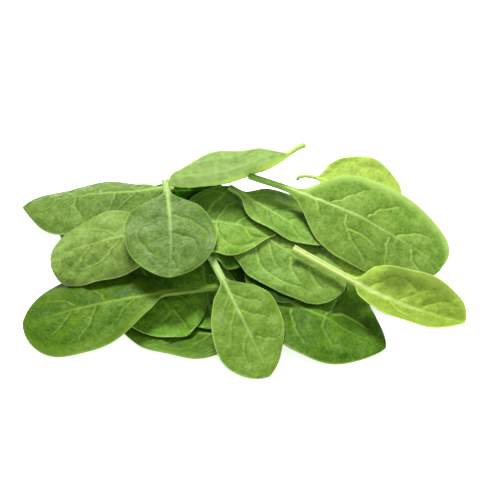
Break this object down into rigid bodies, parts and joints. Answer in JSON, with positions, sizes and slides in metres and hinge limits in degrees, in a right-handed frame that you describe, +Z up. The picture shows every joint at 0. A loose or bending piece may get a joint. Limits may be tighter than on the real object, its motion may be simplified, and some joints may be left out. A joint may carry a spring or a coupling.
{
  "type": "heap of baby spinach leaves",
  "caption": "Low loose heap of fresh baby spinach leaves lying on a surface, with thin wavy blades and short stalks that point every way.",
  "frame": {"origin": "on the surface under the middle of the heap's box, at the height the heap rests on", "axes": "+X along the heap's long side, to the right as the picture shows it; +Y to its back; +Z up"},
  "size_m": [0.1911, 0.1219, 0.0563],
  "materials": {
    "spinach_leaf": "fresh green leaf, smooth with a soft sheen"
  },
  "bodies": {
    "root": {"spinach_heap": "spinach_leaf"}
  },
  "joints": []
}
